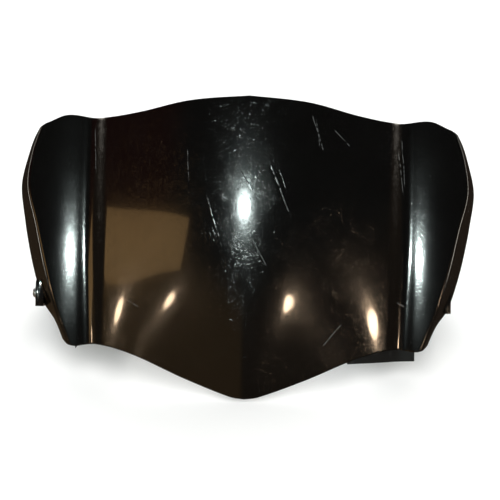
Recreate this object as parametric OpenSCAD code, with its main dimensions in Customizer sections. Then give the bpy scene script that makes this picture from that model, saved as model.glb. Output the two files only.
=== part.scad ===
// Smoked windscreen for a maxi-scooter, with the brackets and fixings that hold it to its stay.
//
// Frame: X across (+X is the viewer's right when facing the screen), -Y to the front, +Z up.
// The origin is the middle of the four frame bolts, on the plane their collars are clamped to.
// The skin is a height field over the "face": x across, s up the leaning face, and a depth
// towards the rider.  Every other piece takes its place from that skin or from the bolt plane.

/* [Screen] */
// Lean of the face from vertical, in degrees
rake = 35; // [30:1:40]
// Thickness of the moulded polycarbonate
skin = 3; // [2.5:0.5:4]
// Radius of the face in side view
face_radius = 900; // [700:20:1200]
// Height on the face where the lobe is square to the viewer
level_s = 205; // [180:5:230]
// Radius of the central lobe in top view, near the middle
lobe_radius = 190; // [170:5:220]
// Distance from the middle to the groove between the lobe and each wing
groove_x = 156; // [152:1:158]
// How far the wings lie behind the foremost line of the face
wing_back = 48; // [44:1:52]
// Extra slope of the return flange behind the bend
flange_turn = 1.35; // [1:0.05:1.6]

/* [Brackets] */
// Distance across between the left and right frame bolts
bolt_across = 300; // [280:2:320]
// Height between the upper and lower frame bolts
bolt_rise = 44; // [40:2:48]
// Distance from the tip of the skin back to the bolt plane
bolt_plane = 184; // [180:1:192]
// Wall of the moulded brackets
wall = 3; // [2.5:0.5:3.5]
// Thickness of the foam bonding tape
tape = 1.2; // [0.8:0.2:1.6]

/* [Fixings] */
// Thread of the four frame bolts, whose clearance bore is in the collars
frame_thread = 6; // [5:1:6]
// Thread of the ear screws
ear_thread = 5; // [4:1:5]
// Diameter of the locating peg
peg_d = 8; // [6:1:9]
// Free length of the locating peg beyond its rubber
peg_reach = 8; // [6:1:14]

/* [Hidden] */
// Outline knots.  Heights of the lower and upper edge against the fraction across the face.
LOWER = [[0, 0], [0.08, 2], [0.35, 19], [0.65, 41], [0.86, 50], [1, 48]];
UPPER = [[0, 299], [0.29, 294], [0.54, 283], [0.74, 278], [0.9, 281], [1, 273]];
// Half width at the bend, and outward growth of the return flange, against height.
HALF_WIDTH = [[48, 177], [88, 192], [128, 203], [172, 213], [210, 222], [244, 218], [272, 209]];
FLANGE = [[48, 5], [74, 6], [92, 13], [162, 14], [202, 9], [238, 4], [272, 2]];

SIDES = ["left", "right"];
LEVELS = ["lower", "upper"];

fine = 48;            // facets of round pieces, which carry over as true curves
bend_margin = 6;      // width of skin before the bend that gets closer columns
bend_soft = 0.7;      // softness of the bend
lobe_slope = 0.8;     // slope that the lobe's sides tend to
crease_slope = 0.1;   // slope of the spine's sides at the bottom, fading out at crease_end
crease_end = 200;
crease_nose = 8;
crease_reach = 100;      // distance from the middle at which the spine has died out
sweep_from = 40;         // from here to the groove, the face's bow gives way to the wing's
groove_half = 14;     // half width of the groove
wing_x = 186;         // where the wing is square to the viewer, and its two radii
wing_s = 138;
wing_across_radius = 167;
wing_up_radius = 1400;
pad_z = 22;           // height of the bolt plane's middle above the tip's level
clearance = 0.15;     // gap between the curved skin and what is bonded to it

// ---------- curves ----------
function clamp01(t) = min(max(t, 0), 1);
function ease(a, b, v) = let (t = clamp01((v - a) / (b - a))) t * t * (3 - 2 * t);
function mix(a, b, t) = a + (b - a) * t;
function soft_step(v, w) = v > 12 * w ? v : v < -12 * w ? 0 : w * ln(1 + exp(v / w));

// Smooth curve through knots, as one cubic between each pair
function knot_slope(k, i) = let (n = len(k) - 1, a = max(i - 1, 0), b = min(i + 1, n))
    (k[b][1] - k[a][1]) / (k[b][0] - k[a][0]);
function find_span(k, v, i = 0) = i >= len(k) - 2 || v < k[i + 1][0] ? i : find_span(k, v, i + 1);
function through(k, v0) = let (
        v = min(max(v0, k[0][0]), k[len(k) - 1][0]),
        i = find_span(k, v),
        h = k[i + 1][0] - k[i][0],
        t = (v - k[i][0]) / h)
    (2 * t^3 - 3 * t^2 + 1) * k[i][1] + (t^3 - 2 * t^2 + t) * h * knot_slope(k, i)
    + (3 * t^2 - 2 * t^3) * k[i + 1][1] + (t^3 - t^2) * h * knot_slope(k, i + 1);

function half_width(s) = through(HALF_WIDTH, s);
function flange(s) = through(FLANGE, s);
function lower_edge(x) = through(LOWER, abs(x) / (half_width(0) - bend_margin));

// ---------- the skin ----------
// Depth of the front surface.  A round central lobe carries a crease that sharpens to a spine at
// the bottom; across the groove it gives way to the wing's own flatter surface, and past the
// half width the skin bends back into the flange.  Its bow up the face eases into the wing's.
function rounded(u, nose) = sqrt(u^2 + nose^2) - nose;
function bow(v, radius) = v^2 / (2 * radius);
function crease(u, s) = let (r = min(rounded(u, crease_nose), crease_reach))
    crease_slope * (1 - ease(0, crease_end, s)) * (r - bow(r, crease_reach));
function lobe(u, s) = lobe_slope * rounded(u, lobe_radius) + crease(u, s);
function wing(u) = wing_back + bow(u - wing_x, wing_across_radius);
function bow_up(u, s) = mix(bow(s - level_s, face_radius), bow(s - wing_s, wing_up_radius),
    ease(sweep_from, groove_x, u));
function depth(x, s) = let (
        u = abs(x),
        over = ease(groove_x - groove_half, groove_x + groove_half, u))
    mix(lobe(u, s), wing(u), over) + bow_up(u, s)
        + flange_turn * soft_step(u - half_width(s), bend_soft);

// A point `inset` mm behind the front surface, measured square to it: [x, depth, s]
function skin_point(x, s, inset) = let (
        h = 0.5,
        dx = (depth(x + h, s) - depth(x - h, s)) / (2 * h),
        ds = (depth(x, s + h) - depth(x, s - h)) / (2 * h),
        k = inset / sqrt(1 + dx^2 + ds^2))
    [x - dx * k, depth(x, s) + k, s - ds * k];

// From face coordinates to the part's frame
function placed(p) = [p[0],
    p[1] * cos(rake) + p[2] * sin(rake) - bolt_plane,
    p[2] * cos(rake) - p[1] * sin(rake) - pad_z];
module on_face() {
    translate([0, -bolt_plane, -pad_z]) rotate([-rake, 0, 0]) children();
}

// Closed solid between two grids of points, each a list of rows of equal length
module slab(front, back) {
    rows = len(front);
    cols = len(front[0]);
    n = rows * cols;
    function at(i, j) = i * cols + j;
    rim = concat(
        [for (j = [0:cols - 1]) at(0, j)],
        [for (i = [1:rows - 1]) at(i, cols - 1)],
        [for (j = [cols - 2:-1:0]) at(rows - 1, j)],
        [for (i = [rows - 2:-1:1]) at(i, 0)]);
    polyhedron(
        points = concat([for (r = front) each r], [for (r = back) each r]),
        faces = concat(
            [for (i = [0:rows - 2], j = [0:cols - 2]) each [
                [at(i, j), at(i + 1, j), at(i + 1, j + 1)],
                [at(i, j), at(i + 1, j + 1), at(i, j + 1)],
                [n + at(i, j), n + at(i + 1, j + 1), n + at(i + 1, j)],
                [n + at(i, j), n + at(i, j + 1), n + at(i + 1, j + 1)]]],
            [for (k = [0:len(rim) - 1]) let (a = rim[k], b = rim[(k + 1) % len(rim)]) each [
                [a, b, n + b],
                [a, n + b, n + a]]]));
}

// Piece that lies on the inside of the skin, between x0 and x1, with its lower and upper
// edges given as functions of x, starting `gap` behind the inner surface
module lining(x0, x1, low, high, gap, thick, cols = 12, rows = 5) {
    function grid(inset) = [for (i = [0:rows - 1]) [for (j = [0:cols - 1]) let (
            x = mix(x0, x1, j / (cols - 1)),
            s = mix(low(x), high(x), i / (rows - 1)))
        placed(skin_point(x, s, inset))]];
    slab(grid(skin + gap), grid(skin + gap + thick));
}

// ---------- screen shell ----------
face_cols = 20;       // columns from the middle to the bend zone
bend_cols = 4;        // columns through the bend
flange_cols = 2;      // columns down the return flange
face_rows = 26;       // rows from the lower to the upper edge
corner = 7;           // rounding of the flange's lower end, doubled at its upper end

// Column positions run 0..1 over the face, 1..2 through the bend and 2..3 down the flange
COLUMNS = concat(
    [for (i = [0:face_cols]) (i / face_cols)^1.15],
    [for (i = [1:bend_cols]) 1 + i / bend_cols],
    [for (i = [1:flange_cols]) 2 + i / flange_cols]);
function column_x(c, s) = let (w = half_width(s), f = flange(s), turn = min(2, 0.4 * f))
    c <= 1 ? c * (w - bend_margin)
    : c <= 2 ? mix(w - bend_margin, w + turn, c - 1)
    : mix(w + turn, w + f, c - 2);
// The ends of the flange are rounded off: past the bend the outline draws in by `corner` mm
function shell_point(c, v, inset) = let (
        a = min(abs(c), 1),
        past = max(abs(c) - 1, 0) / 2,
        low = through(LOWER, a) + corner * past^2,
        high = through(UPPER, a) - 2 * corner * past^1.5,
        s = mix(low, high, v))
    placed(skin_point(sign(c) * column_x(abs(c), s), s, inset));
function shell_grid(inset) = let (
        all = concat([for (i = [len(COLUMNS) - 1:-1:1]) -COLUMNS[i]], COLUMNS))
    [for (i = [0:face_rows]) [for (c = all) shell_point(c, i / face_rows, inset)]];

// ---------- ears on the return flanges ----------
// Left and right pieces are numbered 0 and 1, and side() gives their sign in X
function side(i) = 2 * i - 1;
ear_s = 100;          // height of the ear screw on the face
ear_r = 13;           // radius of the ear's round end
ear_step = [5, -3];   // how far each ear stands out from the flange's edge
flange_out = half_width(ear_s) + flange(ear_s) - 1;   // near the flange's back edge
ear_root = depth(flange_out, ear_s) - 5;              // where the ear leaves the flange
ear_d = ear_root + 20;                                // depth of the ear screw
ear_hole = ear_thread / 2 + 3.5;                      // radius of the hole for the grommet
ear_centre = placed([0, ear_d, ear_s]);
function ear_out(i) = flange_out + ear_step[i];       // outer face of the ear

// Plate square to X with a round end, and the joggle that ties it to the flange
module ear(i) {
    mirror([1 - i, 0, 0]) on_face() {
        translate([ear_out(i) - skin / 2, ear_d, ear_s]) rotate([0, 90, 0])
            cylinder(h = skin, r = ear_r, center = true, $fn = fine);
        translate([ear_out(i) - skin, ear_root, ear_s - ear_r])
            cube([skin, ear_d - ear_root, 2 * ear_r]);
        translate([flange_out - skin, ear_root + 1, ear_s - ear_r])
            cube([max(skin, ear_step[i] + skin), 5, 2 * ear_r]);
    }
}
module at_ear(i, x) {
    translate([side(i) * x, ear_centre[1], ear_centre[2]]) rotate([0, side(i) * 90, 0])
        children();
}
module screen_shell() {
    color([0.06, 0.055, 0.05]) difference() {
        union() {
            slab(shell_grid(0), shell_grid(skin));
            for (i = [0, 1]) ear(i);
        }
        for (i = [0, 1])
            at_ear(i, ear_out(i) - skin - 5) cylinder(h = 16, r = ear_hole, $fn = fine);
    }
}

// ---------- brackets ----------
grip = 1.5;           // flange of a rubber grommet on each side of its plate
pad_wall = wall + 1;  // the bolt pad is thicker than the ribs
pad_front = -grip - pad_wall;
pad_half = bolt_rise / 2 + 13;
pad_inner = bolt_across / 2 - 16;
function leg_out(i) = ear_out(i) - skin - grip;       // side leg's outer face, against the grommet
frame_hole = frame_thread / 2 + 3.5;    // radius of the pad's hole for the grommet
tongue_from = 104;    // reach of the tongue across the face
tongue_to = 171;
tongue_top = 78;      // height of the tongue's upper edge on the face
tongue_drop = [52, 35];                 // its lower edge, left and right
flange_gap = clearance + tape;          // between the skin and the bracket's bonded tongue

// Lower edge of the tongue: the right one shows below the skin, the left one only at a small toe
function tongue_low(i, x) = i == 1 ? tongue_drop[1] + 0.05 * (x - tongue_from)
    : tongue_drop[0] - 7 * ease(tongue_to - 4, tongue_to, x);
// Section of a rib: it follows the back of the tongue, then runs back to the pad
module rib(x) {
    edge = [for (i = [0:6]) placed(skin_point(x, mix(54, tongue_top, i / 6),
        skin + flange_gap + wall / 2))];
    translate([x - wall / 2, 0, 0]) rotate([90, 0, 90]) linear_extrude(wall)
        polygon(concat([for (p = edge) [p[1], p[2]]],
            [[pad_front - 18, 12], [pad_front + 1, 20], [pad_front + 1, -26]]));
}
module side_leg() {
    y0 = ear_centre[1];
    z0 = ear_centre[2];
    rotate([90, 0, 90]) linear_extrude(wall) difference() {
        union() {
            translate([y0, z0]) circle(r = ear_r, $fn = fine);
            polygon([[y0, z0 + ear_r], [pad_front + 1, pad_half - 4],
                [pad_front + 1, -pad_half + 4], [y0, z0 - ear_r]]);
        }
        translate([y0, z0]) circle(r = ear_thread / 2 + 0.4, $fn = fine);
    }
}
// Rectangle with round corners, from two rectangles and four circles
module rounded(x0, x1, y0, y1, r) {
    translate([x0 + r, y0]) square([x1 - x0 - 2 * r, y1 - y0]);
    translate([x0, y0 + r]) square([x1 - x0, y1 - y0 - 2 * r]);
    for (x = [x0 + r, x1 - r], y = [y0 + r, y1 - r]) translate([x, y]) circle(r = r, $fn = fine);
}
module pad(i) {
    rotate([90, 0, 0]) translate([0, 0, grip]) linear_extrude(pad_wall) difference() {
        rounded(pad_inner, leg_out(i), -pad_half, pad_half, 6);
        for (k = [-1, 1]) translate([bolt_across / 2, k * bolt_rise / 2])
            circle(r = frame_hole, $fn = fine);
    }
}
// Floor between the ribs and the side leg, cut back where the skin narrows towards its corner
module shelf(i) {
    x0 = tongue_from + 8;
    translate([0, 0, -2]) linear_extrude(wall) polygon([
        [x0, pad_front + 1], [leg_out(i), pad_front + 1], [leg_out(i), pad_front - 30],
        [tongue_to - 13, pad_front - 66], [x0, pad_front - 76]]);
}
module bracket(i) {
    color([0.09, 0.09, 0.09]) mirror([1 - i, 0, 0]) {
        lining(tongue_from, tongue_to, function (x) tongue_low(i, x),
            function (x) tongue_top, flange_gap, wall);
        for (x = [tongue_from + 8, tongue_to - 13]) rib(x);
        translate([leg_out(i) - wall, 0, 0]) side_leg();
        pad(i);
        shelf(i);
    }
}
module bond_tape(i) {
    color([0.2, 0.2, 0.2]) mirror([1 - i, 0, 0])
        lining(tongue_from + 2, tongue_to - 2, function (x) 56,
            function (x) tongue_top - 2, clearance, tape - clearance, rows = 3);
}
module edge_seal(i) {
    color([0.05, 0.05, 0.05]) mirror([1 - i, 0, 0])
        lining(20, tongue_from - 4, function (x) lower_edge(x) + 4,
            function (x) lower_edge(x) + 12, clearance, 2.5, rows = 3);
}

// ---------- ear fixings, from the outside in ----------
module ring(h, outer, inner) {
    difference() {
        cylinder(h = h, r = outer, $fn = fine);
        translate([0, 0, -1]) cylinder(h = h + 2, r = inner, $fn = fine);
    }
}
// Rubber grommet: two flanges with a groove between them that holds a plate
module grommet(plate, hole, bore) {
    color([0.07, 0.07, 0.07]) rotate_extrude($fn = fine) polygon([
        [bore, -grip], [hole + 2, -grip], [hole + 2.5, -grip + 0.5], [hole + 2.5, 0],
        [hole, 0], [hole, plate], [hole + 2.5, plate], [hole + 2.5, plate + grip - 0.5],
        [hole + 2, plate + grip], [bore, plate + grip]]);
}
collar_wall = 1;
washer_h = 1;
head_h = 2.8;
head_r = ear_thread * 0.95;
ear_collar_r = ear_thread / 2 + 0.2;
module ear_grommet(i) {
    at_ear(i, ear_out(i) - skin) grommet(skin, ear_hole, ear_collar_r + collar_wall);
}
module ear_collar(i) {
    color([0.75, 0.76, 0.78]) at_ear(i, ear_out(i) - skin - grip)
        ring(skin + 2 * grip, ear_collar_r + collar_wall, ear_collar_r);
}
module ear_washer(i) {
    color([0.7, 0.7, 0.72]) at_ear(i, ear_out(i) + grip)
        ring(washer_h, ear_hole + 1.5, ear_thread / 2 + 0.2);
}
module ear_screw(i) {
    shank = skin + 2 * grip + washer_h + wall + 9;
    color([0.6, 0.6, 0.62]) at_ear(i, ear_out(i) + grip + washer_h) difference() {
        union() {
            rotate_extrude($fn = fine) polygon([[0, 0], [head_r, 0], [head_r, head_h * 0.45],
                [head_r * 0.82, head_h * 0.85], [head_r * 0.5, head_h], [0, head_h]]);
            translate([0, 0, -shank]) cylinder(h = shank, r = ear_thread / 2, $fn = fine);
        }
        translate([0, 0, head_h - 1.8]) cylinder(h = 3, r = ear_thread * 0.34, $fn = 6);
    }
}
// Spring-steel clip nut: a U over the edge of the side leg, with a threaded hub inside
module ear_clip_nut(i) {
    sheet = 0.6;
    reach = ear_r + 1;
    across = 12;
    color([0.42, 0.42, 0.44]) at_ear(i, leg_out(i)) rotate([0, 0, side(i) * 90 - 90])
        difference() {
            union() {
                translate([-across / 2, -8, 0.05]) cube([across, reach + 8, sheet]);
                translate([-across / 2, reach - sheet, -wall - sheet - 0.05])
                    cube([across, sheet, wall + 2 * sheet + 0.1]);
                translate([-across / 2, -8, -wall - sheet - 0.05])
                    cube([across, reach + 8, sheet]);
                translate([0, 0, -wall - 4.5]) cylinder(h = 4.4, r = 4, $fn = fine);
            }
            translate([0, 0, -20]) cylinder(h = 30, r = ear_thread / 2 + 0.02, $fn = fine);
        }
}

// ---------- frame fixings ----------
frame_bore = frame_thread / 2 + 0.25;
module at_bolt(i, j) {
    translate([side(i) * bolt_across / 2, 0, side(j) * bolt_rise / 2]) rotate([90, 0, 0])
        children();
}
module frame_grommet(i, j) {
    at_bolt(i, j) translate([0, 0, grip])
        grommet(pad_wall, frame_hole, frame_bore + collar_wall);
}
module frame_collar(i, j) {
    color([0.75, 0.76, 0.78]) at_bolt(i, j)
        ring(pad_wall + 2 * grip, frame_bore + collar_wall, frame_bore);
}

// ---------- locating peg at the tip ----------
peg_s = 30;           // height of the peg on the face
foot_x = 17;          // half width of its foot
foot_low = 14;
foot_high = 48;
peg_seat = placed(skin_point(0, peg_s, skin + flange_gap));
boss_r = peg_d / 2 + 3;
boss_end = peg_seat[1] + 22;
neck_r = peg_d / 2 - 0.8;               // neck that the peg's rubber sits in
rubber_h = 9.5;
module centre_peg() {
    color([0.09, 0.09, 0.09]) {
        lining(-foot_x, foot_x, function (x) foot_low, function (x) foot_high,
            flange_gap, wall, cols = 9);
        translate([0, peg_seat[1] + 1.2, peg_seat[2]]) rotate([-90, 0, 0]) {
            cylinder(h = 20.8, r = boss_r, $fn = fine);
            cylinder(h = 21 + rubber_h, r = neck_r, $fn = fine);
            translate([0, 0, 20.8 + rubber_h]) cylinder(h = peg_reach, r = peg_d / 2, $fn = fine);
        }
        for (k = [-1, 1]) translate([0, boss_end - 21, peg_seat[2]])
            translate([-wall / 2, 0, k > 0 ? 0 : -14]) cube([wall, 17, 14]);
    }
}
module peg_tape() {
    color([0.2, 0.2, 0.2]) lining(-foot_x + 1, foot_x - 1, function (x) foot_low + 1,
        function (x) foot_high - 1, clearance, tape - clearance, cols = 9, rows = 3);
}
module peg_grommet() {
    color([0.07, 0.07, 0.07]) translate([0, boss_end, peg_seat[2]]) rotate([-90, 0, 0])
        rotate_extrude($fn = fine) polygon([[neck_r, 0], [neck_r + 6, 0],
            [neck_r + 6, 2.5], [neck_r + 3.5, 3.5], [neck_r + 3.5, 6],
            [neck_r + 5.5, 7], [neck_r + 4, rubber_h], [neck_r, rubber_h]]);
}

screen_shell();
centre_peg();
peg_tape();
peg_grommet();
for (i = [0, 1]) {
    name = SIDES[i];
    bracket(i);
    bond_tape(i);
    edge_seal(i);
    ear_screw(i);
    ear_washer(i);
    ear_grommet(i);
    ear_collar(i);
    ear_clip_nut(i);
    for (j = [0, 1]) {
        spot = str(name, "_", LEVELS[j]);
        frame_grommet(i, j);
        frame_collar(i, j);
    }
}
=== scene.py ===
# %% [markdown]
# # A smoked scooter windscreen
#
# The CAD model gives every piece its place and size.  This notebook gives the same pieces their
# looks: a glossy, dark-tinted skin with years of wiping scratches, grained brackets, rubber and
# plated fixings.  The first cell loads the CAD model, which stays fixed for the whole lesson.

# %% Load the frame
import math

import bmesh
import bpy
from mathutils import Matrix, Vector


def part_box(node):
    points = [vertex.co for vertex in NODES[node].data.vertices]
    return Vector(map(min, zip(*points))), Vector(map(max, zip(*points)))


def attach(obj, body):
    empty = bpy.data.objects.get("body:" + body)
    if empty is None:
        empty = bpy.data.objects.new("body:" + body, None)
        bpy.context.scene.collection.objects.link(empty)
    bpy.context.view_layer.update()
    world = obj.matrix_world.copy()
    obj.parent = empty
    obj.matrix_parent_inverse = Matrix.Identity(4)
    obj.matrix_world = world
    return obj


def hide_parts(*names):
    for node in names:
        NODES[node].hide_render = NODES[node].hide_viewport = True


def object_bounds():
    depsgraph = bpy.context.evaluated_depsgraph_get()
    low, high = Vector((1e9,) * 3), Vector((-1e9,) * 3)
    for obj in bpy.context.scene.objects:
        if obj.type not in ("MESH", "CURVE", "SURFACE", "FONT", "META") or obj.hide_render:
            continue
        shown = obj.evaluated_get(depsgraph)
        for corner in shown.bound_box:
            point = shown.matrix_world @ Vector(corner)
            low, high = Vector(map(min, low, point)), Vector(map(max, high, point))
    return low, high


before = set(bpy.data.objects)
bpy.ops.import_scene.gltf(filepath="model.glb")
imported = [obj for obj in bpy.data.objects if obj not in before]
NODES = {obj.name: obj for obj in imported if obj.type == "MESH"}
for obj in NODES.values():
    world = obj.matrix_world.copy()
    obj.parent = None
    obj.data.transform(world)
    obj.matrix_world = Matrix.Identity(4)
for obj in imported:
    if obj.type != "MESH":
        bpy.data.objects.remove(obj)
cad_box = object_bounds()
print("CAD nodes:", len(NODES))

# %% [markdown]
# ## The numbers the skin is made from
#
# A windscreen is moulded over one smooth tool, so its whole shape can be written as a rule: how far
# back the skin lies at each point of its face.  `x` runs across, `s` runs up the leaning face.
# These are the same values, with lengths in millimetres, that the CAD skin was cut from.

# %% Driving values of the skin
MM = 0.001
LEAN = math.radians(35)
SKIN = 3.0
# How far the face's front-most line and its foot lie from the frame's origin
BOLT_PLANE = 184.0
FACE_FOOT = 22.0
# The bow of the face up its height, and the height where the bow is level
FACE_RADIUS = 900.0
LEVEL_S = 205.0
# The lobe: sides of one slope that leave a round nose
LOBE_SLOPE = 0.8
LOBE_RADIUS = 190.0
# The spine: more slope beside the middle, gone at a height and at a distance
CREASE_SLOPE = 0.1
CREASE_END = 200.0
CREASE_NOSE = 8.0
CREASE_REACH = 100.0
# From here outwards the bow of the face turns into the bow of the wing
SWEEP_FROM = 40.0
# The groove, and half the width over which the lobe turns into the wing
GROOVE_X = 156.0
GROOVE_HALF = 14.0
# The wing: how far back its middle lies, where that is, and its two radii
WING_BACK = 48.0
WING_X = 186.0
WING_S = 138.0
WING_ACROSS_RADIUS = 167.0
WING_UP_RADIUS = 1400.0
# The return flange: its slope, the closer columns before it and the softness of the bend
FLANGE_TURN = 1.35
BEND_MARGIN = 6.0
BEND_SOFT = 0.7
# The outline: edges by share of the width, half width and flange by height
CORNER = 7.0
LOWER = [(0, 0), (0.08, 2), (0.35, 19), (0.65, 41), (0.86, 50), (1, 48)]
UPPER = [(0, 299), (0.29, 294), (0.54, 283), (0.74, 278), (0.9, 281), (1, 273)]
HALF_WIDTH = [(48, 177), (88, 192), (128, 203), (172, 213), (210, 222), (244, 218), (272, 209)]
FLANGE = [(48, 5), (74, 6), (92, 13), (162, 14), (202, 9), (238, 4), (272, 2)]


def placed(x, depth, s):
    """A point of the face, in millimetres, as a place in the frame, in metres."""
    y = depth * math.cos(LEAN) + s * math.sin(LEAN) - BOLT_PLANE
    z = s * math.cos(LEAN) - depth * math.sin(LEAN) - FACE_FOOT
    return Vector((x, y, z)) * MM


FACE_OUT = Vector((0, -math.cos(LEAN), math.sin(LEAN)))
tip_depth = LEVEL_S**2 / (2 * FACE_RADIUS)
print("tip of the skin at", tuple(round(v, 4) for v in placed(0, tip_depth, 0)))

# %% [markdown]
# ## Writing a formula as nodes
#
# Geometry Nodes can evaluate a rule on every vertex at once, but a long formula is a thicket of
# Math nodes.  A small class that turns Python's own operators into Math nodes keeps it readable:
# `a * b + 1` makes two nodes and returns the socket of the last.

# %% Formula helper
class Sum:
    """A number or vector that a node tree works out at each place of a piece."""

    def __init__(self, tree, socket):
        self.tree = tree
        self.socket = socket

    def math(self, operation, *others, clamp=False):
        node = self.tree.nodes.new("ShaderNodeMath")
        node.operation = operation
        node.use_clamp = clamp
        for slot, value in zip(node.inputs, (self, *others)):
            plug(self.tree, slot, value)
        return Sum(self.tree, node.outputs[0])

    def constant(self, value):
        node = self.tree.nodes.new("ShaderNodeValue")
        node.outputs[0].default_value = value
        return Sum(self.tree, node.outputs[0])

    def __add__(self, other):
        return self.math("ADD", other)

    def __sub__(self, other):
        return self.math("SUBTRACT", other)

    def __rsub__(self, other):
        return self.constant(other).math("SUBTRACT", self)

    def __mul__(self, other):
        return self.math("MULTIPLY", other)

    def __truediv__(self, other):
        return self.math("DIVIDE", other)

    def clamped(self):
        return self.math("ADD", 0.0, clamp=True)


def plug(tree, socket, value):
    """Links a Sum to a socket, or sets a plain value on it."""
    if isinstance(value, Sum):
        tree.links.new(value.socket, socket)
    else:
        socket.default_value = value


def out(node, name=0):
    return Sum(node.id_data, node.outputs[name])


# %% Curves and steps for formulas
def ease(low, high, value):
    """Smooth step from 0 at low to 1 at high."""
    t = ((value - low) / (high - low)).clamped()
    return t * t * (3 - t * 2)


def mix(a, b, t):
    return t * (b - a) + a


STRAIGHT_FROM = 20.0


def soft_step(value, softness):
    """Zero below zero and equal to the value above it, with a rounded corner.  Past STRAIGHT_FROM
    times the softness the corner is over, and the exponent is kept from growing without end."""
    t = (value / softness).math("MINIMUM", STRAIGHT_FROM)
    corner = (t.math("EXPONENT") + 1).math("LOGARITHM", math.e)
    return corner * softness + (value - softness * STRAIGHT_FROM).math("MAXIMUM", 0.0)


def through(knots, value):
    """Smooth curve through a few knots: one cubic to a span, each span holding its end value."""
    def slope(i):
        a, b = max(i - 1, 0), min(i + 1, len(knots) - 1)
        return (knots[b][1] - knots[a][1]) / (knots[b][0] - knots[a][0])

    total = value * 0 + knots[0][1]
    for i, ((x0, y0), (x1, y1)) in enumerate(zip(knots, knots[1:])):
        h = x1 - x0
        t = ((value - x0) / h).clamped()
        # Horner form of the cubic from zero to the rise, with a slope of its own at each end
        a, b, rise = slope(i) * h, slope(i + 1) * h, y1 - y0
        total = total + ((t * (a + b - 2 * rise) + (3 * rise - 2 * a - b)) * t + a) * t
    return total


# %% [markdown]
# ## The skin
#
# The skin could be modelled by pushing a subdivision cage about, but its lobe, its spine, its wings
# and its tight bends follow a rule, so a grid and a formula give a cleaner surface, and a glossy
# surface shows every bump.  The grid's own coordinates say which column and row a vertex belongs
# to: columns run over the face, then through the bend, then down the return flange.

# %% Helpers for geometry trees
def new_tree(name, inputs):
    """Geometry tree with named inputs; an input whose value is None takes an object."""
    tree = bpy.data.node_groups.new(name, "GeometryNodeTree")
    tree.interface.new_socket("Geometry", in_out="OUTPUT", socket_type="NodeSocketGeometry")
    keys = {}
    for label, value in inputs.items():
        kind = {int: "NodeSocketInt", float: "NodeSocketFloat"}.get(type(value), "NodeSocketObject")
        socket = tree.interface.new_socket(label, in_out="INPUT", socket_type=kind)
        if value is not None:
            socket.default_value = value
        keys[label] = socket.identifier
    tree["keys"] = keys
    entry = tree.nodes.new("NodeGroupInput")
    return tree, {s.name: Sum(tree, s) for s in entry.outputs if s.name}


def add(tree, kind, **settings):
    """New node, with its settings and its inputs' values; a Sum becomes a link."""
    node = tree.nodes.new(kind)
    for key, value in settings.items():
        if hasattr(node, key):
            setattr(node, key, value)
        else:
            plug(tree, node.inputs[key.replace("_", " ")], value)
    return node


def chain(tree, first, *nodes):
    """Joins nodes one after another, and the last one to the tree's output."""
    last = first
    for node in nodes:
        tree.links.new(last.outputs[0], node.inputs[0])
        last = node
    tree.links.new(last.outputs[0], tree.nodes.new("NodeGroupOutput").inputs[0])


def filled(node, *parts):
    """Fills a node's inputs in order, but those that its settings hide, and returns its result."""
    for socket, part in zip([s for s in node.inputs if s.enabled], parts):
        plug(node.id_data, socket, part)
    return Sum(node.id_data, next(s for s in node.outputs if s.enabled))


def vector(tree, *parts):
    return filled(tree.nodes.new("ShaderNodeCombineXYZ"), *parts)


def grid_place(tree):
    """A grid vertex's own x and y, before anything moves it."""
    position = out(tree.nodes.new("GeometryNodeInputPosition"))
    split = add(tree, "ShaderNodeSeparateXYZ", Vector=position)
    return out(split, "X"), out(split, "Y")


# %% Helpers for objects and meshes
def make_object(name, mesh):
    piece = bpy.data.objects.new(name, mesh)
    bpy.context.scene.collection.objects.link(piece)
    return piece


def evaluated(source, name):
    """Plain mesh object with all of the source's modifiers applied; the source is removed."""
    graph = bpy.context.evaluated_depsgraph_get()
    mesh = bpy.data.meshes.new_from_object(source.evaluated_get(graph))
    bpy.data.objects.remove(source)
    mesh.name = name
    return make_object(name, mesh)


def baked(name, tree, values=None):
    """Runs a geometry tree once and keeps its result as a plain mesh object."""
    carrier = make_object(name + "_carrier", bpy.data.meshes.new(name + "_carrier"))
    modifier = carrier.modifiers.new("rule", "NODES")
    modifier.node_group = tree
    for label, value in (values or {}).items():
        modifier[tree["keys"][label]] = value
    return evaluated(carrier, name)


def mesh_from(shape, name):
    """Plain mesh from an edit mesh, which is freed."""
    mesh = bpy.data.meshes.new(name)
    shape.to_mesh(mesh)
    shape.free()
    return mesh


def shade_smooth(mesh, sharp_angle):
    """Smooth shading, except over edges sharper than the angle, in degrees."""
    for polygon in mesh.polygons:
        polygon.use_smooth = True
    mesh.set_sharp_from_angle(angle=math.radians(sharp_angle))


# %% The rule for the skin
def rounded(u, nose):
    """Distance from the middle, with a round nose at zero."""
    return (u * u + nose * nose).math("SQRT") - nose


def bow(value, radius):
    return value * value / (2 * radius)


def skin_depth(u, s):
    """How far behind the front-most line the skin lies, for x = u >= 0 and height s."""
    reach = rounded(u, CREASE_NOSE).math("MINIMUM", CREASE_REACH)
    crease = (1 - ease(0, CREASE_END, s)) * CREASE_SLOPE * (reach - bow(reach, CREASE_REACH))
    lobe = rounded(u, LOBE_RADIUS) * LOBE_SLOPE + crease
    wing = bow(u - WING_X, WING_ACROSS_RADIUS) + WING_BACK
    over = ease(GROOVE_X - GROOVE_HALF, GROOVE_X + GROOVE_HALF, u)
    bow_up = mix(bow(s - LEVEL_S, FACE_RADIUS), bow(s - WING_S, WING_UP_RADIUS),
                 ease(SWEEP_FROM, GROOVE_X, u))
    bend = soft_step(u - through(HALF_WIDTH, s), BEND_SOFT) * FLANGE_TURN
    return mix(lobe, wing, over) + bow_up + bend


# %% The skin as a geometry tree
# Shares of the grid's half width that go to the face and to the bend; the flange takes the rest
FACE_SHARE = 0.74
BEND_SHARE = 0.15
FLANGE_SHARE = 1 - FACE_SHARE - BEND_SHARE
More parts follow.
